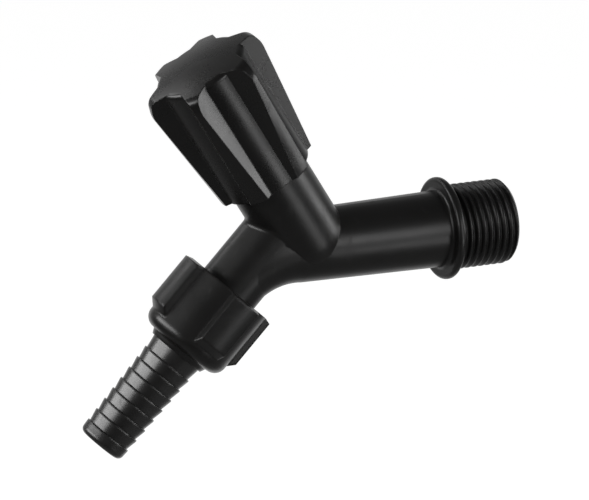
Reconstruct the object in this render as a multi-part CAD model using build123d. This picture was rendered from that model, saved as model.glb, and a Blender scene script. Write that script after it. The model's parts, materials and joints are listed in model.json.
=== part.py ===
from build123d import *
import math
import os

# Hose tap: a one-piece moulded Y body with a male inlet thread, a screw-down valve under a ribbed
# knob, and a union nut that holds a barbed hose tail. Millimetres.
# Origin: inlet axis at the wall-side face of the collar. +X into the wall, +Z up, XZ is the mirror plane.

# Layout
crossing_distance = 35.9  # collar face back to where the valve axis meets the inlet axis
valve_tilt = 31.4         # valve axis, leaning back from +Z
spout_tilt = 43.2         # spout axis, leaning back from -Z
spout_height = 9.95       # where the spout axis leaves the valve axis

# Water way
inlet_bore_r = 6.5
inlet_bore_depth = 24.0   # wide stretch of the bore, measured back from the collar face
inlet_passage_r = 5.6
spout_bore_r = 4.6        # shared by the spout and the tail washer

# Inlet
inlet_thread_r = 10.4775
inlet_thread_length = 15.6
inlet_chamfer = 0.9
collar_reach = 2.12       # collar's rim beyond the crests of the inlet thread
collar_thickness = 2.1
collar_flat = 0.2         # rim left between the collar's two rounds
collar_root_round = 0.9
tube_inset = 1.13         # tube's surface at the elbow, in from the neck's
tube_flare = 0.7          # how much wider the tube is at the collar than at the elbow

# Elbow and spout
elbow_axis_r = 22.0
elbow_end_inset = 0.3     # elbow runs out just below the arm's surface
arm_straight = 3.3        # from the elbow's end to the union thread
arm_step = 0.63           # arm's surface below the crests of the union thread
union_thread_r = 8.331
union_thread_length = 11.1
union_thread_chamfer = 0.7

# Neck and valve seat
neck_r = 9.88
neck_wall = 2.13
neck_ball_height = 3.5
neck_top = 36.0
crotch_round = 1.2
seat_floor = 8.6
seat_lip_height = 0.8
seat_lip_width = 1.2
seat_hole_r = 4.5
seat_wall = 2.5           # moulded wall left around the seat hole, under the seat's floor

# Valve disc, washer and screw
valve_gap = 0.85          # from the disc and the spindle's collar out to the chamber wall
washer_inset = 0.3
washer_thickness = 3.0
screw_hole_r = 1.5
screw_length = 5.2
screw_head_r = 2.7
screw_head_height = 1.1
screw_recess_depth = 0.9
screw_slot_width = 0.7
screw_slot_depth = 0.5
disc_thickness = 2.4
disc_stem_r = 2.4
disc_stem_length = 9.0

# Spindle and bonnet
spindle_collar_height = 2.6
spindle_thread_r = 5.5
spindle_thread_height = 10.6
spindle_shank_r = 4.5
spindle_shank_reach = 2.1  # from the bonnet's top to the knob's boss, with the valve shut
spindle_drive_width = 6.2
spindle_drive_height = 6.4
spindle_drive_chamfer = 0.4
valve_lift = 5.0          # two turns of the knob
lift_clearance = 0.6      # left over above and below the spindle's thread at full lift
bonnet_boss_r = 7.2
bonnet_flange_height = 2.4
bonnet_gasket_thickness = 1.0
o_ring_section_r = 0.75
o_ring_clearance = 0.03
o_ring_spacing = 2.8
o_ring_margin = 1.3       # from a ring's middle to the end of its gland

# Knob
knob_height = 32.4        # from the skirt's lower rim to the edge of the top
knob_shoulder_height = 3.5
knob_shoulder_inset = 1.15
knob_dome = 1.2
knob_flare = 2.95         # how much wider the knob is at the shoulder than at its lower rim
knob_kink_round = 6.0
knob_rim_round = 2.2
knob_skirt_wall = 2.4
knob_skirt_clearance = 0.42
knob_plate_thickness = 2.2
knob_boss_wall = 2.4
rib_count = 6
flute_wall = 1.19         # skirt's thickness at the floor of a flute
flute_floor_width = 5.96
flute_wall_angle = 56.4   # flute walls, opening away from the flute's centre line
flute_top_round = 1.4     # where a flute's floor turns over into the dome
knob_clocking = 27.4      # centre of a flute, turned from the mirror plane

# Union nut, hose tail and washer
nut_overhang = 1.3        # nut's reach past the inner end of the union thread
nut_wall = 3.0
nut_end_wall = 2.4
nut_end_round = 3.1
nut_nose_step = 0.3
nut_nose_length = 1.3
nut_nose_wall = 0.3
pad_count = 4
pad_height = 1.85
pad_width = 7.84          # at the pads' outer faces
pad_wall_draft = 4.5
pad_setback = 0.5         # from the pads' lower ends to the nut's end round
pad_top_slope = 0.5
pad_end_slope = 1.8
nut_clocking = 0.3        # centre of a pad, turned from the mirror plane
tail_flange_thickness = 2.0
tail_washer_thickness = 1.8
tail_bore_step = 0.3      # how much narrower the tail's bore is than the spout's
tail_wall = 1.82          # at the last barb
tail_neck_inset = 0.43    # narrow end of the neck, in from the first barb
tail_neck_flare = 0.53    # how much wider the neck is at the nut
tail_neck_length = 3.4    # from the nut's tip to the first barb
barb_count = 8
barb_pitch = 3.157
barb_taper = 0.58         # how much larger the first barb's radius is than the last one's
barb_depth = 0.5
barb_land = 0.35
tail_nose_length = 3.2
tail_nose_taper = 0.15
tail_nose_rim = 0.25

# Fits
running_clearance = 0.06
seat_clearance = 0.25
hole_clearance = 0.05

valve_sin = math.sin(math.radians(valve_tilt))
valve_cos = math.cos(math.radians(valve_tilt))
spout_sin = math.sin(math.radians(spout_tilt))
spout_cos = math.cos(math.radians(spout_tilt))
inlet_frame = Plane((0, 0, 0), x_dir=(0, 0, 1), z_dir=(1, 0, 0)).location
valve_axis = Vector(-valve_sin, 0, valve_cos)
valve_origin = Vector(-crossing_distance, 0, 0)
valve_frame = Plane(valve_origin, x_dir=(valve_cos, 0, valve_sin), z_dir=valve_axis).location
spout_axis = Vector(-spout_sin, 0, -spout_cos)
spout_origin = valve_origin + valve_axis * spout_height
spout_frame = Plane(spout_origin, x_dir=(spout_cos, 0, -spout_sin), z_dir=spout_axis).location


def turned(outline):
    corners = [(radius, 0, height) for radius, height in outline]
    return revolve(make_face(Polyline(*corners, close=True)), Axis.Z)


def rod(radius, low, high):
    return Pos(0, 0, low) * Cylinder(radius, high - low, align=(Align.CENTER, Align.CENTER, Align.MIN))


def ring(outer, inner, low, high):
    return rod(outer, low, high) - rod(inner, low, high)


def edges_at(shape, radius, height):
    tolerance = 0.01
    found = shape.edges().filter_by(GeomType.CIRCLE)
    found = found.filter_by(lambda edge: abs(edge.radius - radius) < tolerance)
    return found.filter_by(lambda edge: abs(edge.arc_center.Z - height) < tolerance)


def joining_edges(shape):
    shortest_loop = neck_r / 2
    curved = shape.edges().filter_by(GeomType.BSPLINE)
    return curved.filter_by(lambda edge: edge.bounding_box().size.Y > shortest_loop)


def write(name, shape):
    export_step(shape, f"parts/{name}.step")


# Heights along the valve axis, and radii about it, that several pieces share
chamber_r = neck_r - neck_wall
disc_r = chamber_r - valve_gap
seat_top = seat_floor + seat_lip_height
washer_top = seat_top + washer_thickness
disc_top = washer_top + disc_thickness
spindle_foot = disc_top + seat_clearance
spindle_collar_top = spindle_foot + spindle_collar_height
spindle_thread_top = spindle_collar_top + spindle_thread_height
bonnet_foot = spindle_collar_top + valve_lift + lift_clearance
gland_foot = spindle_thread_top + valve_lift + lift_clearance
gland_r = spindle_shank_r + running_clearance
o_ring_path_r = gland_r - o_ring_clearance - o_ring_section_r
o_ring_low = gland_foot + o_ring_margin
o_ring_high = o_ring_low + o_ring_spacing
bonnet_top = o_ring_high + valve_lift + o_ring_margin
flange_foot = neck_top + bonnet_gasket_thickness
flange_top = flange_foot + bonnet_flange_height
spindle_shank_top = bonnet_top + spindle_shank_reach
knob_ceiling = spindle_shank_top + spindle_drive_height + seat_clearance
knob_top = knob_ceiling + knob_plate_thickness
screw_seat = seat_top + screw_recess_depth
screw_tip = screw_seat + screw_length

# Places along the spout axis, and radii about it, that several pieces share
arm_r = union_thread_r - arm_step
elbow_turn = 90 - spout_tilt
elbow_tangent = elbow_axis_r * math.tan(math.radians(elbow_turn / 2))
elbow_corner_on_spout = spout_origin.Z / spout_cos
elbow_corner_x = (spout_origin + spout_axis * elbow_corner_on_spout).X
elbow_start_x = elbow_corner_x + elbow_tangent
elbow_end_on_spout = elbow_corner_on_spout + elbow_tangent
union_thread_start = elbow_end_on_spout + arm_straight
spout_length = union_thread_start + union_thread_length
washer_foot = spout_length + tail_washer_thickness
tail_shoulder = washer_foot + tail_flange_thickness
nut_top = union_thread_start - nut_overhang
nut_end = tail_shoulder + nut_end_wall
nut_tip = nut_end + nut_nose_length
nut_bore_r = union_thread_r + running_clearance
nut_barrel_r = nut_bore_r + nut_wall
tail_bore_r = spout_bore_r - tail_bore_step
barb_last_r = tail_bore_r + tail_wall
barb_first_r = barb_last_r + barb_taper
barb_first = nut_tip + tail_neck_length
tail_neck_narrow_r = barb_first_r - tail_neck_inset
tail_neck_r = tail_neck_narrow_r + tail_neck_flare
tail_flange_r = nut_bore_r - seat_clearance
nut_hole_r = tail_neck_r + seat_clearance


def make_tap_body():
    collar_r = inlet_thread_r + collar_reach
    collar_back = -collar_thickness
    collar_round = (collar_thickness - collar_flat) / 2
    inlet_tube_r_elbow = neck_r - tube_inset
    inlet_tube_r_collar = inlet_tube_r_elbow + tube_flare
    inlet_outline = [
        (0, elbow_start_x), (inlet_tube_r_elbow, elbow_start_x), (inlet_tube_r_collar, collar_back),
        (collar_r, collar_back), (collar_r, 0), (inlet_thread_r, 0),
        (inlet_thread_r, inlet_thread_length - inlet_chamfer),
        (inlet_thread_r - inlet_chamfer, inlet_thread_length), (0, inlet_thread_length)]
    inlet = turned(inlet_outline)
    inlet = fillet(edges_at(inlet, collar_r, 0) + edges_at(inlet, collar_r, collar_back), collar_round)
    inlet = fillet(edges_at(inlet, inlet_tube_r_collar, collar_back), collar_root_round)
    inlet = inlet_frame * inlet
    elbow_start = Vector(elbow_start_x, 0, 0)
    elbow_end = spout_origin + spout_axis * elbow_end_on_spout
    elbow_path = TangentArc(elbow_start, elbow_end, tangent=(-1, 0, 0))
    elbow_wide = Plane(elbow_start, z_dir=(-1, 0, 0)) * Circle(inlet_tube_r_elbow)
    elbow_narrow = Plane(elbow_end, z_dir=spout_axis) * Circle(arm_r - elbow_end_inset)
    elbow = sweep([elbow_wide, elbow_narrow], path=elbow_path, multisection=True)
    arm = spout_frame * rod(arm_r, 0, union_thread_start)
    neck = valve_frame * (rod(neck_r, neck_ball_height, neck_top) + Pos(0, 0, neck_ball_height) * Sphere(neck_r))
    outside = inlet + elbow + arm + neck
    outside = fillet(joining_edges(outside), crotch_round)
    thread_outline = [
        (0, union_thread_start), (union_thread_r - union_thread_chamfer, union_thread_start),
        (union_thread_r, union_thread_start + union_thread_chamfer),
        (union_thread_r, spout_length - union_thread_chamfer),
        (union_thread_r - union_thread_chamfer, spout_length), (0, spout_length)]
    outside += spout_frame * turned(thread_outline)
    chamber = valve_frame * rod(chamber_r, seat_floor, neck_top)
    lip = valve_frame * ring(seat_hole_r + seat_lip_width, seat_hole_r, seat_floor, seat_top)
    seat_hole = valve_frame * rod(seat_hole_r, 0, seat_top)
    seat_block_r = seat_hole_r + seat_wall
    seat_block = valve_frame * rod(seat_block_r, -seat_block_r, seat_floor)
    passage_end = -crossing_distance - seat_hole_r
    passage = inlet_frame * rod(inlet_passage_r, passage_end, 0)
    bore = inlet_frame * rod(inlet_bore_r, -inlet_bore_depth, inlet_thread_length)
    spout_bore = spout_frame * rod(spout_bore_r, 0, spout_length) - seat_block
    return outside - chamber - spout_bore + lip - seat_hole - passage - bore


def make_bonnet():
    thread_hole_r = spindle_thread_r + running_clearance
    plug_r = chamber_r - hole_clearance
    outline = [
        (thread_hole_r, bonnet_foot), (plug_r, bonnet_foot), (plug_r, flange_foot), (neck_r, flange_foot),
        (neck_r, flange_top), (bonnet_boss_r, flange_top), (bonnet_boss_r, bonnet_top), (gland_r, bonnet_top),
        (gland_r, gland_foot), (thread_hole_r, gland_foot)]
    return valve_frame * turned(outline)


def make_bonnet_gasket():
    return valve_frame * ring(neck_r, chamber_r, neck_top, flange_foot)


def make_o_ring(height):
    return valve_frame * (Pos(0, 0, height) * Torus(o_ring_path_r, o_ring_section_r))


def make_spindle():
    drive = Pos(0, 0, spindle_shank_top) * Box(
        spindle_drive_width, spindle_drive_width, spindle_drive_height,
        align=(Align.CENTER, Align.CENTER, Align.MIN))
    drive = chamfer(drive.edges().filter_by(Axis.Z), spindle_drive_chamfer)
    outline = [
        (0, spindle_foot), (disc_r, spindle_foot), (disc_r, spindle_collar_top),
        (spindle_thread_r, spindle_collar_top), (spindle_thread_r, spindle_thread_top),
        (spindle_shank_r, spindle_thread_top), (spindle_shank_r, spindle_shank_top), (0, spindle_shank_top)]
    spindle = turned(outline) + drive
    groove_half = o_ring_section_r + hole_clearance
    groove_floor_r = o_ring_path_r - o_ring_section_r - hole_clearance
    for height in (o_ring_low, o_ring_high):
        spindle -= ring(gland_r, groove_floor_r, height - groove_half, height + groove_half)
    socket_r = disc_stem_r + running_clearance
    spindle -= rod(socket_r, spindle_foot, disc_top + disc_stem_length + seat_clearance)
    return valve_frame * spindle


def make_valve_disc():
    disc = rod(disc_r, washer_top, disc_top) + rod(disc_stem_r, disc_top, disc_top + disc_stem_length)
    return valve_frame * (disc - rod(screw_hole_r, washer_top, screw_tip + seat_clearance))


def make_seat_washer():
    washer = ring(disc_r - washer_inset, screw_hole_r, seat_top, washer_top)
    return valve_frame * (washer - rod(screw_head_r + hole_clearance, seat_top, screw_seat))


def make_washer_screw():
    head_foot = screw_seat - screw_head_height
    screw = rod(screw_head_r, head_foot, screw_seat) + rod(screw_hole_r - hole_clearance, screw_seat, screw_tip)
    slot = Pos(0, 0, head_foot) * Box(2 * screw_head_r, screw_slot_width, 2 * screw_slot_depth)
    return valve_frame * (screw - slot)


def make_knob():
    skirt_bore_r = neck_r + knob_skirt_clearance
    knob_bottom = knob_top - knob_height
    knob_bottom_r = skirt_bore_r + knob_skirt_wall
    knob_kink = knob_top - knob_shoulder_height
    knob_kink_r = knob_bottom_r + knob_flare
    knob_top_r = knob_kink_r - knob_shoulder_inset
    knob_boss_r = spindle_drive_width / math.sqrt(2) + knob_boss_wall
    dome_r = (knob_top_r ** 2 + knob_dome ** 2) / (2 * knob_dome)

    def dome_height(radius):
        return knob_top + knob_dome - dome_r + math.sqrt(dome_r ** 2 - radius ** 2)

    def domed(outline):
        corners = [(radius, 0, height) for radius, height in outline]
        half_r = outline[-1][0] / 2
        top = (0, 0, knob_top + knob_dome)
        sides = Polyline(top, (0, 0, knob_bottom), *corners)
        dome = ThreePointArc(corners[-1], (half_r, 0, dome_height(half_r)), top)
        return revolve(make_face(sides + dome), Axis.Z)

    knob = domed([(knob_bottom_r, knob_bottom), (knob_kink_r, knob_kink), (knob_top_r, knob_top)])
    knob = fillet(edges_at(knob, knob_kink_r, knob_kink), knob_kink_round)
    knob = fillet(edges_at(knob, knob_top_r, knob_top), knob_rim_round)
    flute_floor_r = skirt_bore_r + flute_wall
    flute_floor_top = dome_height(flute_floor_r)
    core = domed([(flute_floor_r, knob_bottom), (flute_floor_r, flute_floor_top)])
    core = fillet(edges_at(core, flute_floor_r, flute_floor_top), flute_top_round)
    flute_slope = math.tan(math.radians(flute_wall_angle))
    floor_half = flute_floor_width / 2
    flute_root = math.sqrt(flute_floor_r ** 2 - floor_half ** 2) - floor_half / flute_slope
    mouth_half = (knob_kink_r - flute_root) * flute_slope
    section = make_face(Polyline(
        (flute_root, 0), (knob_kink_r, mouth_half), (knob_kink_r, -mouth_half), close=True))
    flute = Pos(0, 0, knob_bottom) * extrude(section, knob_top + knob_dome - knob_bottom)
    for number in range(rib_count):
        knob -= Rot(0, 0, knob_clocking + number * 360 / rib_count) * flute
    knob += core
    knob -= rod(skirt_bore_r, knob_bottom, knob_ceiling)
    knob += rod(knob_boss_r, spindle_shank_top, knob_ceiling)
    socket = Pos(0, 0, spindle_shank_top) * Box(
        spindle_drive_width, spindle_drive_width, spindle_drive_height,
        align=(Align.CENTER, Align.CENTER, Align.MIN))
    return valve_frame * (knob - socket)


def make_union_nut():
    nut_nose_r = nut_barrel_r - nut_end_round - nut_nose_step
    nut_tip_r = nut_hole_r + nut_nose_wall
    outline = [
        (nut_bore_r, nut_top), (nut_barrel_r, nut_top), (nut_barrel_r, nut_end), (nut_nose_r, nut_end),
        (nut_tip_r, nut_tip), (nut_hole_r, nut_tip), (nut_hole_r, tail_shoulder), (nut_bore_r, tail_shoulder)]
    nut = turned(outline)
    nut = fillet(edges_at(nut, nut_barrel_r, nut_end), nut_end_round)
    pad_root_r = (nut_bore_r + nut_barrel_r) / 2
    pad_foot = nut_end - nut_end_round - pad_setback
    pad_r = nut_barrel_r + pad_height
    pad_outline = [
        (pad_root_r, nut_top), (nut_barrel_r, nut_top), (pad_r, nut_top + pad_top_slope),
        (pad_r, pad_foot - pad_end_slope), (nut_barrel_r, pad_foot), (pad_root_r, pad_foot)]
    envelope = turned(pad_outline)
    crest_half = pad_width / 2
    root_half = crest_half + (pad_r - nut_bore_r) * math.tan(math.radians(pad_wall_draft))
    section = make_face(Polyline(
        (nut_bore_r, -root_half), (nut_bore_r, root_half), (pad_r, crest_half), (pad_r, -crest_half), close=True))
    wedge = Pos(0, 0, nut_top) * extrude(section, pad_foot - nut_top)
    pad = envelope & wedge
    for number in range(pad_count):
        nut += Rot(0, 0, nut_clocking + number * 360 / pad_count) * pad
    return spout_frame * nut


def make_hose_tail():
    outline = [
        (tail_bore_r, washer_foot), (tail_flange_r, washer_foot), (tail_flange_r, tail_shoulder),
        (tail_neck_r, tail_shoulder), (tail_neck_r, nut_tip), (tail_neck_narrow_r, barb_first)]
    crest_step = -barb_taper / (barb_count - 1)
    for number in range(barb_count):
        crest_r = barb_first_r + number * crest_step
        crest = barb_first + number * barb_pitch
        outline += [(crest_r, crest), (crest_r, crest + barb_land)]
        if number < barb_count - 1:
            outline.append((crest_r + crest_step - barb_depth, crest + barb_pitch))
    tip = crest + tail_nose_length
    nose_r = barb_last_r - tail_nose_taper
    outline += [(nose_r, tip), (tail_bore_r, tip)]
    tail = turned(outline)
    tail = fillet(edges_at(tail, nose_r, tip), nose_r - tail_bore_r - tail_nose_rim)
    return spout_frame * tail


def make_tail_washer():
    return spout_frame * ring(tail_flange_r, spout_bore_r, spout_length, washer_foot)


os.makedirs("parts", exist_ok=True)
write("tap_body", make_tap_body())
write("bonnet", make_bonnet())
write("bonnet_gasket", make_bonnet_gasket())
write("spindle", make_spindle())
write("spindle_o_ring_lower", make_o_ring(o_ring_low))
write("spindle_o_ring_upper", make_o_ring(o_ring_high))
write("knob", make_knob())
write("valve_disc", make_valve_disc())
write("seat_washer", make_seat_washer())
write("washer_screw", make_washer_screw())
write("union_nut", make_union_nut())
write("hose_tail", make_hose_tail())
write("tail_washer", make_tail_washer())
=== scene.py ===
import bpy
import json
import math
from mathutils import Matrix, Vector


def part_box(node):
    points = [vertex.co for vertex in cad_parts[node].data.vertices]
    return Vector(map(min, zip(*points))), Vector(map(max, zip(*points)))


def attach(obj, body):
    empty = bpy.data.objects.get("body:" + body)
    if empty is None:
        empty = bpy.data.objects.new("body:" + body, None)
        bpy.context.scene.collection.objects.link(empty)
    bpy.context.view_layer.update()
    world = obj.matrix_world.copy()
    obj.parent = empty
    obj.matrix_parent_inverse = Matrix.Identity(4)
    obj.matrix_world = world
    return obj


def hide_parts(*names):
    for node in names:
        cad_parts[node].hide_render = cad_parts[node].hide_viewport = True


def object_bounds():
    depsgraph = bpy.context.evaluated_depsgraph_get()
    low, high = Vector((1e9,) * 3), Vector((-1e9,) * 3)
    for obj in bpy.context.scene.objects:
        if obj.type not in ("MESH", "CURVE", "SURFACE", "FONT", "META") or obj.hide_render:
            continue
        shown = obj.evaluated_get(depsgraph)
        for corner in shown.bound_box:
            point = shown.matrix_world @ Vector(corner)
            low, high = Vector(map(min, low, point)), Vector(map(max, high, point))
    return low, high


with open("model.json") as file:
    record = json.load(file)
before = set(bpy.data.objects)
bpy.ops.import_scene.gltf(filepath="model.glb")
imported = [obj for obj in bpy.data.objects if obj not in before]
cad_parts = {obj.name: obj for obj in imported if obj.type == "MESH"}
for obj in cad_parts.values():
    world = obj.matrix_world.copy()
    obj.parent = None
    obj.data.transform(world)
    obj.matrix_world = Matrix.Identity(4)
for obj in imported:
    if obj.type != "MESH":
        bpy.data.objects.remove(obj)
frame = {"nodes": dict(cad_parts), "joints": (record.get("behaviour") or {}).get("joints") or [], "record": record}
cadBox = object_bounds()
record = frame["record"]
mm = 0.001
weldGap = 0.0005 * mm  # points closer than this are one point


class Wire:  # a node's output, so that sums can be written as sums
    def __init__(self, board, node, output):
        self.board = board
        self.node = node
        self.socket = node.outputs[output] if node.outputs else None

    def other(self, output):  # another output of the same node
        return Wire(self.board, self.node, output)

    def maths(self, operation, first, second):
        return self.board.add("ShaderNodeMath", {"operation": operation}, {0: first, 1: second})

    def __add__(self, value):
        return self.maths("ADD", self, value)

    def __radd__(self, value):
        return self.maths("ADD", value, self)

    def __sub__(self, value):
        return self.maths("SUBTRACT", self, value)

    def __rsub__(self, value):
        return self.maths("SUBTRACT", value, self)

    def __mul__(self, value):
        return self.maths("MULTIPLY", self, value)

    def __rmul__(self, value):
        return self.maths("MULTIPLY", value, self)

    def __truediv__(self, value):
        return self.maths("DIVIDE", self, value)

    def __lt__(self, value):
        return self.maths("LESS_THAN", self, value)

    def __gt__(self, value):
        return self.maths("GREATER_THAN", self, value)


class Board:  # a node tree that nodes are added to
    def __init__(self, tree):
        self.tree = tree

    def add(self, kind, settings={}, values={}, output=0):
        node = self.tree.nodes.new(kind)
        for name, value in settings.items():
            setattr(node, name, value)
        for name, value in values.items():
            if isinstance(value, Wire):
                self.tree.links.new(value.socket, node.inputs[name])
            else:
                node.inputs[name].default_value = value
        return Wire(self, node, output)

    def smoothStep(self, value, start, end):  # 0 at the start, 1 at the end
        return self.add("ShaderNodeMapRange", {"interpolation_type": "SMOOTHSTEP"},
                        {"Value": value, "From Min": start, "From Max": end})

    def blend(self, share, first, second):  # colour from the first to the second
        return self.add("ShaderNodeMix", {"data_type": "RGBA"}, {0: share, 6: first, 7: second}, 2)

    def least(self, first, second):
        return self.add("ShaderNodeMath", {"operation": "MINIMUM"}, {0: first, 1: second})


def newMaterial(name):
    material = bpy.data.materials.new(name)
    material.use_nodes = True
    material.node_tree.nodes.clear()
    return material, Board(material.node_tree)


def finishMaterial(board, shader):
    board.add("ShaderNodeOutputMaterial", {}, {"Surface": shader})


# Moulded black plastic
mouldedLook = {
    "dark": (0.0030, 0.0029, 0.0028, 1),
    "pale": (0.0050, 0.0048, 0.0046, 1),
    "worn": (0.015, 0.0147, 0.0144, 1),
    "ior": 1.49,
    "grainScale": 2300,                # features of about half a millimetre
    "flowScale": 110,                  # slow waves of the melt
    "flowBend": 0.6,
    "scuffScale": 420,
    "scuffStretch": (1.0, 1.0, 0.12),  # scuffs run along the piece
    "scuffFrom": 0.60, "scuffTo": 0.74,
    "edgeFrom": 0.02, "edgeTo": 0.22,  # how far the normal leans where an edge is rubbed
    "edgeWear": 0.25, "edgeWearByFlow": 0.5, "scuffWear": 0.18,
    "roughFrom": -0.06, "roughByFlow": 0.12, "roughByScuff": 0.10, "roughByGrain": 0.06,
    "reliefOfGrain": 0.5, "reliefOfFlow": 2.2, "reliefOfScuff": 0.15,
    "bumpStrength": 0.5, "bumpHeight": 0.012 * mm,
}


def mouldedBlack(name, turn, polish, specular, edgeRound):
    look = mouldedLook
    material, board = newMaterial(name)
    place = board.add("ShaderNodeTexCoord", output="Object")
    grain = board.add("ShaderNodeTexNoise", {}, {"Vector": place, "Scale": look["grainScale"], "Detail": 3.0})
    flow = board.add("ShaderNodeTexNoise", {}, {"Vector": place, "Scale": look["flowScale"], "Detail": 2.0,
                                                "Distortion": look["flowBend"]})
    along = board.add("ShaderNodeMapping", {},
                      {"Vector": place, "Rotation": turn, "Scale": look["scuffStretch"]})
    scuff = board.add("ShaderNodeTexNoise", {},
                      {"Vector": along, "Scale": look["scuffScale"], "Detail": 4.0, "Roughness": 0.62})
    scuffMask = board.smoothStep(scuff, look["scuffFrom"], look["scuffTo"])
    rounded = board.add("ShaderNodeBevel", {"samples": 6}, {"Radius": edgeRound})
    flat = board.add("ShaderNodeNewGeometry", output="Normal")
    facing = board.add("ShaderNodeVectorMath", {"operation": "DOT_PRODUCT"}, {0: rounded, 1: flat}, "Value")
    edge = board.smoothStep(1 - facing, look["edgeFrom"], look["edgeTo"])
    tone = board.blend(flow, look["dark"], look["pale"])
    rubbed = edge * (look["edgeWear"] + look["edgeWearByFlow"] * flow) + scuffMask * look["scuffWear"]
    colour = board.blend(rubbed, tone, look["worn"])
    roughness = (polish + look["roughFrom"] + look["roughByFlow"] * flow + look["roughByScuff"] * scuffMask
                 + look["roughByGrain"] * grain)
    relief = grain * look["reliefOfGrain"] + flow * look["reliefOfFlow"] - scuffMask * look["reliefOfScuff"]
    bump = board.add("ShaderNodeBump", {}, {"Height": relief, "Strength": look["bumpStrength"],
                                            "Distance": look["bumpHeight"], "Normal": rounded})
    shader = board.add("ShaderNodeBsdfPrincipled", {}, {"Base Color": colour, "Roughness": roughness,
                                                        "Normal": bump, "IOR": look["ior"],
                                                        "Specular IOR Level": specular})
    finishMaterial(board, shader)
    return material


# White acetal of the valve's inner pieces
acetalLook = {
    "dark": (0.66, 0.64, 0.58, 1), "pale": (0.78, 0.77, 0.72, 1), "ior": 1.48,
    "flowScale": 140, "ringScale": 900, "ringBend": 0.8, "ringRelief": 0.4,
    "roughness": 0.30, "roughByFlow": 0.16, "bumpStrength": 0.3, "bumpHeight": 0.01 * mm,
}


def whiteAcetal(name, turn):
    look = acetalLook
    material, board = newMaterial(name)
    place = board.add("ShaderNodeTexCoord", output="Object")
    along = board.add("ShaderNodeMapping", {}, {"Vector": place, "Rotation": turn})
    flow = board.add("ShaderNodeTexNoise", {}, {"Vector": place, "Scale": look["flowScale"], "Detail": 3.0})
    rings = board.add("ShaderNodeTexWave", {"wave_type": "BANDS", "bands_direction": "Z"},
                      {"Vector": along, "Scale": look["ringScale"], "Distortion": look["ringBend"],
                       "Detail": 1.0}, "Fac")
    colour = board.blend(flow, look["dark"], look["pale"])
    roughness = look["roughness"] + look["roughByFlow"] * flow
    bump = board.add("ShaderNodeBump", {}, {"Height": rings * look["ringRelief"] + flow,
                                            "Strength": look["bumpStrength"], "Distance": look["bumpHeight"]})
    shader = board.add("ShaderNodeBsdfPrincipled", {}, {"Base Color": colour, "Roughness": roughness,
                                                        "Normal": bump, "IOR": look["ior"]})
    finishMaterial(board, shader)
    return material


# Rubber of the seals
rubberLook = {
    "dark": (0.012, 0.012, 0.012, 1), "pale": (0.030, 0.030, 0.030, 1), "ior": 1.5,
    "grainScale": 1800, "bloomScale": 260, "roughness": 0.62, "roughByBloom": 0.2,
    "bumpStrength": 0.4, "bumpHeight": 0.02 * mm,
}


def sealRubber(name):
    look = rubberLook
    material, board = newMaterial(name)
    place = board.add("ShaderNodeTexCoord", output="Object")
    grain = board.add("ShaderNodeTexNoise", {}, {"Vector": place, "Scale": look["grainScale"], "Detail": 4.0})
    bloom = board.add("ShaderNodeTexNoise", {}, {"Vector": place, "Scale": look["bloomScale"], "Detail": 2.0})
    colour = board.blend(bloom, look["dark"], look["pale"])
    roughness = look["roughness"] + look["roughByBloom"] * bloom
    bump = board.add("ShaderNodeBump", {}, {"Height": grain, "Strength": look["bumpStrength"],
                                            "Distance": look["bumpHeight"]})
    shader = board.add("ShaderNodeBsdfPrincipled", {}, {"Base Color": colour, "Roughness": roughness,
                                                        "Normal": bump, "IOR": look["ior"]})
    finishMaterial(board, shader)
    return material


# Turned brass of the washer screw
brassLook = {
    "dark": (0.52, 0.36, 0.14, 1), "pale": (0.74, 0.56, 0.27, 1), "stainScale": 700,
    "ringScale": 2600, "ringBend": 1.5, "roughness": 0.22, "roughByStain": 0.25,
    "bumpStrength": 0.25, "bumpHeight": 0.01 * mm,
}


def turnedBrass(name, turn):
    look = brassLook
    material, board = newMaterial(name)
    place = board.add("ShaderNodeTexCoord", output="Object")
    along = board.add("ShaderNodeMapping", {}, {"Vector": place, "Rotation": turn})
    stain = board.add("ShaderNodeTexNoise", {}, {"Vector": place, "Scale": look["stainScale"], "Detail": 4.0})
    rings = board.add("ShaderNodeTexWave", {"wave_type": "BANDS", "bands_direction": "Z"},
                      {"Vector": along, "Scale": look["ringScale"], "Distortion": look["ringBend"]}, "Fac")
    colour = board.blend(stain, look["dark"], look["pale"])
    roughness = look["roughness"] + look["roughByStain"] * stain
    bump = board.add("ShaderNodeBump", {}, {"Height": rings, "Strength": look["bumpStrength"],
                                            "Distance": look["bumpHeight"]})
    shader = board.add("ShaderNodeBsdfPrincipled", {}, {"Base Color": colour, "Metallic": 1.0,
                                                        "Roughness": roughness, "Normal": bump})
    finishMaterial(board, shader)
    return material


def jointNamed(name):
    return next(joint for joint in frame["joints"] if joint["name"] == name)


def mountNamed(name):
    return next(mount for mount in record["mounts"] if mount["name"] == name)


def axisFrame(origin, axis):  # matrix whose Z runs along the axis, with its X in the mirror plane
    along = Vector(axis).normalized()
    side = Vector((0, 1, 0))
    across = side.cross(along).normalized()
    return Matrix.Translation(Vector(origin)) @ Matrix((across, side, along)).transposed().to_4x4()


spoutFrame = axisFrame(jointNamed("nut_turn")["pos_m"], jointNamed("nut_turn")["axis"])
valveFrame = axisFrame(jointNamed("knob_turn")["pos_m"], jointNamed("knob_turn")["axis"])
inletFrame = axisFrame(mountNamed("inlet_thread")["pos_m"], mountNamed("inlet_thread")["axis"])
valveTurn = tuple(valveFrame.inverted().to_euler())
spoutTurn = tuple(spoutFrame.inverted().to_euler())
inletTurn = tuple(inletFrame.inverted().to_euler())

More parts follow.
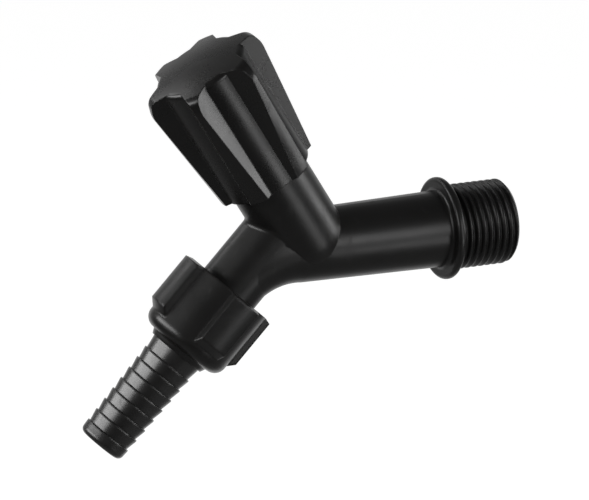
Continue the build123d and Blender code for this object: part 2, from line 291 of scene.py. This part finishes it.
bodyLook = {"turn": inletTurn, "polish": 0.33, "specular": 0.25, "edgeRound": 0.35 * mm}
knobLook = {"turn": valveTurn, "polish": 0.25, "specular": 0.25, "edgeRound": 0.35 * mm}
nutLook = {"turn": spoutTurn, "polish": 0.29, "specular": 0.27, "edgeRound": 0.80 * mm}
tailLook = {"turn": spoutTurn, "polish": 0.31, "specular": 0.50, "edgeRound": 0.25 * mm}
bodyPlastic = mouldedBlack("mouldedBlackBody", **bodyLook)
knobPlastic = mouldedBlack("mouldedBlackKnob", **knobLook)
nutPlastic = mouldedBlack("mouldedBlackNut", **nutLook)
tailPlastic = mouldedBlack("mouldedBlackTail", **tailLook)
acetal = whiteAcetal("whiteAcetal", valveTurn)
rubber = sealRubber("sealRubber")
brass = turnedBrass("turnedBrass", valveTurn)
nodeFinish = {
    "knob": knobPlastic, "union_nut": nutPlastic, "hose_tail": tailPlastic,
    "bonnet": acetal, "spindle": acetal, "valve_disc": acetal,
    "bonnet_gasket": rubber, "spindle_o_ring_lower": rubber, "spindle_o_ring_upper": rubber,
    "seat_washer": rubber, "tail_washer": rubber, "washer_screw": brass,
}
for node, finish in nodeFinish.items():
    for materialSlot in frame["nodes"][node].material_slots:
        materialSlot.material = finish
print("finishes set on", len(nodeFinish), "nodes")


# Screw threads, each as a sleeve of rings whose radius follows the helix
def threadTree():
    tree = bpy.data.node_groups.new("threadSleeve", "GeometryNodeTree")
    sockets = {}
    for name, kind in (("Length", "Float"), ("Crest radius", "Float"), ("Depth", "Float"), ("Pitch", "Float"),
                       ("Phase", "Float"), ("Run-out", "Float"), ("Start chamfer", "Float"),
                       ("End chamfer", "Float"), ("Rings", "Int"), ("Around", "Int"), ("Finish", "Material")):
        socket = tree.interface.new_socket(name, in_out="INPUT", socket_type="NodeSocket" + kind)
        sockets[name] = socket.identifier
    tree.interface.new_socket("Sleeve", in_out="OUTPUT", socket_type="NodeSocketGeometry")
    board = Board(tree)
    given = board.add("NodeGroupInput")
    length = given.other("Length")
    crest = given.other("Crest radius")
    runOut = given.other("Run-out")
    grid = board.add("GeometryNodeMeshGrid", {}, {"Size X": 1.0, "Size Y": 1.0,
                                                  "Vertices X": given.other("Rings"),
                                                  "Vertices Y": given.other("Around")})
    where = board.add("ShaderNodeSeparateXYZ", {}, {0: board.add("GeometryNodeInputPosition")})
    along = where + 0.5
    turns = where.other("Y") + 0.5
    endBand = 0.0005  # share of the length that holds only the first or the last ring
    first = along < endBand
    last = along > 1 - endBand
    height = along * length
    phase = board.add("ShaderNodeMath", {"operation": "FRACT"},
                      {0: height / given.other("Pitch") - turns + given.other("Phase") + 1.0})
    ridge = board.add("ShaderNodeMath", {"operation": "ABSOLUTE"}, {0: phase * 2.0 - 1.0})
    flank = board.smoothStep(ridge, 0.0, 0.92)  # the crest keeps a narrow land
    begun = board.smoothStep(height, runOut * 0.4, runOut)
    thread = crest - given.other("Depth") * (1 - flank) * begun
    startRadius = crest - given.other("Start chamfer")
    endRadius = crest - given.other("End chamfer")
    chamfered = board.least(startRadius + height, endRadius + length - height)
    inner = board.least(chamfered, thread)
    radius = inner * (1 - first - last) + first * startRadius + last * endRadius
    angle = turns * math.tau
    cosine = board.add("ShaderNodeMath", {"operation": "COSINE"}, {0: angle})
    sine = board.add("ShaderNodeMath", {"operation": "SINE"}, {0: angle})
    spot = board.add("ShaderNodeCombineXYZ", {}, {0: radius * cosine, 1: radius * sine, 2: height})
    placed = board.add("GeometryNodeSetPosition", {}, {"Geometry": grid, "Position": spot})
    closed = board.add("GeometryNodeMergeByDistance", {}, {"Geometry": placed, "Distance": weldGap})
    real = board.add("GeometryNodeRealizeInstances", {}, {"Geometry": closed})
    dressed = board.add("GeometryNodeSetMaterial", {}, {"Geometry": real, "Material": given.other("Finish")})
    board.add("NodeGroupOutput", {}, {0: dressed})
    return tree, sockets


bodyNode = frame["nodes"]["tap_body"]
washerNode = frame["nodes"]["tail_washer"]
washerTop = min((spoutFrame.inverted() @ vertex.co).z for vertex in washerNode.data.vertices)
inletSizes = mountNamed("inlet_thread")["dims"]
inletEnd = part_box("tap_body")[1].x
unionLength = 11.1 * mm
inletThread = {
    "frame": inletFrame, "Length": inletEnd, "Crest radius": inletSizes["r_mm"] * mm,
    "Depth": 0.85 * mm, "Pitch": 1.814 * mm, "Phase": 0.408, "Run-out": 0.7 * mm, "Start chamfer": 0.0,
    "End chamfer": inletEnd - inletSizes["length_mm"] * mm, "Rings": 190, "Around": 160}
unionThread = {
    "frame": spoutFrame @ Matrix.Translation((0, 0, washerTop - unionLength)), "Length": unionLength,
    "Crest radius": 8.331 * mm, "Depth": 0.8 * mm, "Pitch": 1.337 * mm, "Phase": 0.0, "Run-out": 0.1 * mm,
    "Start chamfer": 0.7 * mm, "End chamfer": 0.7 * mm, "Rings": 150, "Around": 128}
threads = {"inletThread": inletThread, "unionThread": unionThread}
sleeveTree, sleeveSockets = threadTree()


def threadSleeve(name, sizes):
    holder = bpy.data.objects.new(name, bpy.data.meshes.new(name))
    bpy.context.scene.collection.objects.link(holder)
    modifier = holder.modifiers.new("thread", "NODES")
    modifier.node_group = sleeveTree
    for socketName, identifier in sleeveSockets.items():
        modifier[identifier] = bodyPlastic if socketName == "Finish" else sizes[socketName]
    bpy.context.view_layer.update()
    evaluated = holder.evaluated_get(bpy.context.evaluated_depsgraph_get())
    mesh = bpy.data.meshes.new_from_object(evaluated)
    bpy.data.objects.remove(holder)
    mesh.transform(sizes["frame"])
    mesh.shade_smooth()
    mesh.set_sharp_from_angle(angle=math.radians(50))
    return mesh


def onPlainBand(sizes, points, normal):  # the plain band that a thread stands in for
    toBand = sizes["frame"].inverted()
    spots = [toBand @ point for point in points]
    outward = (toBand.to_3x3() @ normal).xy
    slack = 0.02 * mm
    leastLean = 0.3  # flat end faces stay
    smallest = sizes["Crest radius"] - sizes["End chamfer"] - slack
    within = all(-slack < spot.z < sizes["Length"] + slack and spot.xy.length > smallest for spot in spots)
    return within and outward.length > leastLean and outward.dot(spots[0].xy) > 0


class Merged:  # faces of several meshes on shared points, each face corner with its own normal
    def __init__(self):
        self.numbers = {}
        self.points = []
        self.faces = []
        self.normals = []

    def number(self, point):
        key = tuple(round(value / weldGap) for value in point)
        if key not in self.numbers:
            self.numbers[key] = len(self.points)
            self.points.append(point)
        return self.numbers[key]

    def addFace(self, points, normals):
        face = [self.number(point) for point in points]
        if len(set(face)) == len(face):
            self.faces.append(face)
            self.normals.extend(normals)

    def build(self, name):
        mesh = bpy.data.meshes.new(name)
        mesh.from_pydata(self.points, [], self.faces)
        mesh.shade_smooth()
        mesh.normals_split_custom_set(self.normals)
        return mesh


def meshFaces(mesh):
    for polygon in mesh.polygons:
        points = [mesh.vertices[number].co.copy() for number in polygon.vertices]
        normals = [mesh.corner_normals[corner].vector.copy() for corner in polygon.loop_indices]
        yield points, normals, polygon.normal


merged = Merged()
for points, normals, normal in meshFaces(bodyNode.data):
    if not any(onPlainBand(sizes, points, normal) for sizes in threads.values()):
        merged.addFace(points, normals)
print("body kept", len(merged.faces), "of", len(bodyNode.data.polygons), "faces")
for threadName, sizes in threads.items():
    for points, normals, normal in meshFaces(threadSleeve(threadName, sizes)):
        merged.addFace(points, normals)
bodyMesh = merged.build("threadedBody")
bodyMesh.materials.append(bodyPlastic)
threadedBody = bpy.data.objects.new("threadedBody", bodyMesh)
bpy.context.scene.collection.objects.link(threadedBody)
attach(threadedBody, "tap_body")
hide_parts("tap_body")
print("body made with", len(bodyMesh.polygons), "faces")

# Floor, light and camera
shot = {
    "target": Vector((-40.04 * mm, 0, -0.844 * mm)),
    "azimuth": math.radians(-23.274),
    "elevation": math.radians(18.711),
    "roll": math.radians(0.583),
    "distance": 800 * mm,
    "focalPixels": 3325.62,
    "imageWidth": 589,
    "sensorWidth": 36,
    "clipStart": 0.01,
    "clipEnd": 50,
}
studio = {
    "floorDrop": 400 * mm, "floorSize": 12.0, "floorTone": 0.28, "floorGlow": 0.92, "worldTone": 0.22,
    "screenEdge": 0.60, "screenFull": 0.90,  # cosines, from the screen's outer edge to where it is full white
}
softBoxes = {  # offset is right, up and towards the camera
    "rightSoftBox": {"offset": (0.83, 0.15, -0.08), "size": (0.30, 0.30), "power": 2.7},
    "frontSoftBox": {"offset": (0.55, 0.02, 0.65), "size": (0.32, 0.32), "power": 2.4},
    "lowSoftBox": {"offset": (0.67, -0.35, 0.39), "size": (0.25, 0.25), "power": 1.4},
    "leftSoftBox": {"offset": (-0.77, 0.19, 0.31), "size": (1.10, 0.26), "power": 11.0},
    "backSoftBox": {"offset": (-0.57, 0.55, -0.32), "size": (0.20, 0.20), "power": 0.7},
}
right = Vector((math.cos(shot["azimuth"]), math.sin(shot["azimuth"]), 0))
back = Vector((math.sin(shot["azimuth"]) * math.cos(shot["elevation"]),
               -math.cos(shot["azimuth"]) * math.cos(shot["elevation"]), math.sin(shot["elevation"])))
up = back.cross(right)
rolledRight = right * math.cos(shot["roll"]) + up * math.sin(shot["roll"])
rolledUp = up * math.cos(shot["roll"]) - right * math.sin(shot["roll"])

cameraData = bpy.data.cameras.new("productCamera")
cameraData.sensor_width = shot["sensorWidth"]
cameraData.lens = shot["focalPixels"] * shot["sensorWidth"] / shot["imageWidth"]
cameraData.clip_start = shot["clipStart"]
cameraData.clip_end = shot["clipEnd"]
camera = bpy.data.objects.new("productCamera", cameraData)
bpy.context.scene.collection.objects.link(camera)
cameraPlace = Matrix((rolledRight, rolledUp, back)).transposed().to_4x4()
cameraPlace.translation = shot["target"] + back * shot["distance"]
camera.matrix_world = cameraPlace
bpy.context.scene.camera = camera


def whiteScreen(board, direction):  # camera rays see white all round, mirrored rays only behind the object
    path = board.add("ShaderNodeLightPath")
    behind = board.add("ShaderNodeVectorMath", {"operation": "DOT_PRODUCT"},
                       {0: direction, 1: -back}, "Value")
    screen = board.smoothStep(behind, studio["screenEdge"], studio["screenFull"])
    mirrored = path.other("Is Glossy Ray") + path.other("Is Transmission Ray")
    seen = path.other("Is Camera Ray") + mirrored * screen
    return board.least(seen, 1.0)


def paleFloor():
    material, board = newMaterial("paleFloor")
    shade = board.add("ShaderNodeBsdfDiffuse", {}, {"Color": (studio["floorTone"],) * 3 + (1,)})
    place = board.add("ShaderNodeTexCoord", output="Object")
    away = board.add("ShaderNodeVectorMath", {"operation": "SUBTRACT"}, {0: place, 1: shot["target"]})
    direction = board.add("ShaderNodeVectorMath", {"operation": "NORMALIZE"}, {0: away})
    glow = board.add("ShaderNodeEmission", {}, {"Color": whiteScreen(board, direction) * studio["floorGlow"]})
    finishMaterial(board, board.add("ShaderNodeAddShader", {}, {0: shade, 1: glow}))
    half = studio["floorSize"] / 2
    height = cadBox[0].z - studio["floorDrop"]
    mesh = bpy.data.meshes.new("floor")
    corners = [(-half, -half, height), (half, -half, height), (half, half, height), (-half, half, height)]
    mesh.from_pydata(corners, [], [(0, 1, 2, 3)])
    mesh.materials.append(material)
    floor = bpy.data.objects.new("floor", mesh)
    bpy.context.scene.collection.objects.link(floor)


def paleWorld():
    world = bpy.data.worlds.new("studio")
    world.use_nodes = True
    world.node_tree.nodes.clear()
    board = Board(world.node_tree)
    direction = board.add("ShaderNodeTexCoord", output="Generated")
    tone = studio["worldTone"] + whiteScreen(board, direction) * (1 - studio["worldTone"])
    sky = board.add("ShaderNodeBackground", {}, {"Color": tone})
    board.add("ShaderNodeOutputWorld", {}, {"Surface": sky})
    bpy.context.scene.world = world


def softBox(name, offset, size, power):
    data = bpy.data.lights.new(name, "AREA")
    data.shape = "RECTANGLE"
    data.size, data.size_y = size
    data.energy = power
    lamp = bpy.data.objects.new(name, data)
    bpy.context.scene.collection.objects.link(lamp)
    lamp.location = shot["target"] + right * offset[0] + up * offset[1] + back * offset[2]
    lamp.rotation_mode = "QUATERNION"
    lamp.rotation_quaternion = (shot["target"] - lamp.location).to_track_quat("-Z", "Y")


paleFloor()
paleWorld()
for boxName, box in softBoxes.items():
    softBox(boxName, **box)
bpy.context.scene.view_settings.view_transform = "Standard"
print("studio set")
